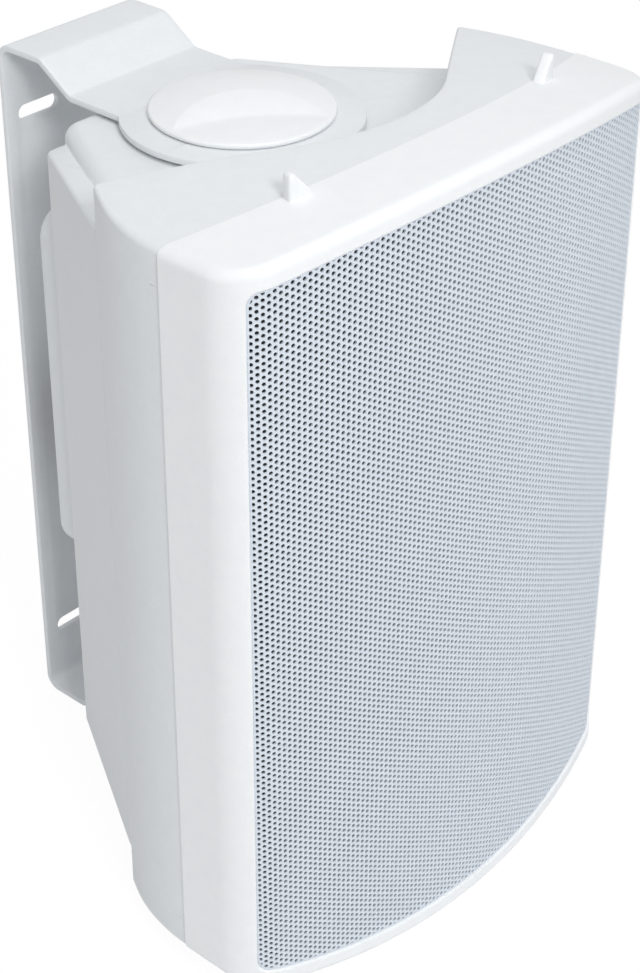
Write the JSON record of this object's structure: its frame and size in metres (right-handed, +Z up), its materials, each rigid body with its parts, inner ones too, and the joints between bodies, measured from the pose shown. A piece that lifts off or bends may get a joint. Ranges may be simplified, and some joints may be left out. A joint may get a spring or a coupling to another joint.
{
  "type": "wall-mount loudspeaker",
  "caption": "Compact two-way loudspeaker: white moulded cabinet with a bowed perforated grille, held by clamp knobs in a folded steel wall bracket in which it swivels.",
  "frame": {"origin": "centre of the wall plate's rear face, in the middle of its four slots", "axes": "+Z up along the swivel axis and the tallest extent, +Y into the wall, front of the speaker faces -Y, +X to the right as seen from the front"},
  "size_m": [0.2196, 0.2161, 0.3303],
  "materials": {
    "bracket_white": "white powder coat, fine grain",
    "cabinet_white": "moulded plastic, fine leather grain, satin",
    "frame_white": "moulded plastic, fine leather grain, satin",
    "grille_white": "powder-coated perforated steel",
    "cloth_grey": "thin acoustic cloth",
    "foam_black": "closed-cell foam and rubber",
    "brass": "turned",
    "zinc_steel": "zinc plated",
    "black_steel": "black painted steel",
    "cone_paper": "pressed cone pulp, stiff",
    "black_rubber": "moulded rubber",
    "spider_cloth": "resin-set corrugated cloth",
    "coil_copper": "lacquered copper wire",
    "ferrite": "sintered ferrite",
    "plate_steel": "plated steel",
    "black_plastic": "moulded plastic, satin",
    "board_green": "glass-fibre circuit board",
    "capacitor_blue": "film capacitor sleeve",
    "ceramic_white": "cement resistor body",
    "wadding": "polyester wadding",
    "red_plastic": "moulded plastic"
  },
  "bodies": {
    "bracket": {"wall_bracket": "bracket_white"},
    "upper_clamp": {"upper_knob": "frame_white", "upper_clamp_screw": "zinc_steel"},
    "lower_clamp": {"lower_knob": "frame_white", "lower_clamp_screw": "zinc_steel"},
    "cone": {"woofer_cone": "cone_paper", "woofer_dust_cap": "black_rubber", "voice_coil": "coil_copper"},
    "red_cap": {"red_terminal_cap": "red_plastic"},
    "black_cap": {"black_terminal_cap": "black_plastic"},
    "cabinet": {"rear_cabinet": "cabinet_white", "front_frame": "frame_white", "grille": "grille_white", "grille_cloth": "cloth_grey", "seam_gasket": "foam_black", "swivel_inserts": "brass", "friction_washers": "foam_black", "woofer_basket": "black_steel", "woofer_gasket": "foam_black", "woofer_surround": "black_rubber", "woofer_spider": "spider_cloth", "woofer_magnet": "ferrite", "woofer_top_plate": "plate_steel", "woofer_pole_plate": "plate_steel", "tweeter_faceplate": "black_plastic", "tweeter_dome": "cloth_grey", "tweeter_magnet": "ferrite", "tweeter_motor_plate": "plate_steel", "tweeter_pole": "plate_steel", "tweeter_cup": "black_steel", "port_tube": "black_plastic", "crossover_board": "board_green", "crossover_coils": "coil_copper", "crossover_capacitors": "capacitor_blue", "crossover_resistors": "ceramic_white", "damping_pad": "wadding", "terminal_plate": "black_plastic", "terminal_studs": "brass", "front_screws": "zinc_steel", "woofer_screws": "black_steel", "tweeter_screws": "black_steel", "terminal_screws": "black_steel", "board_screws": "zinc_steel"}
  },
  "joints": [
    {"name": "cabinet_swivel", "type": "hinge", "parent": "bracket", "child": "cabinet", "pos_m": [0, -0.0963, 0], "axis": [0, 0, 1], "range_deg": [-75, 75]},
    {"name": "upper_knob_turn", "type": "hinge", "parent": "cabinet", "child": "upper_clamp", "pos_m": [0, -0.0963, 0.1417], "axis": [0, 0, 1], "continuous": true},
    {"name": "lower_knob_turn", "type": "hinge", "parent": "cabinet", "child": "lower_clamp", "pos_m": [0, -0.0963, -0.1417], "axis": [0, 0, -1], "continuous": true},
    {"name": "cone_travel", "type": "slide", "parent": "cabinet", "child": "cone", "axis": [0, -1, 0], "range_m": [-0.003, 0.003], "stiffness_N_per_m": 1200},
    {"name": "red_cap_turn", "type": "hinge", "parent": "cabinet", "child": "red_cap", "pos_m": [-0.012, -0.0453, -0.015], "axis": [0, 1, 0], "continuous": true},
    {"name": "black_cap_turn", "type": "hinge", "parent": "cabinet", "child": "black_cap", "pos_m": [0.012, -0.0453, -0.015], "axis": [0, 1, 0], "continuous": true}
  ]
}
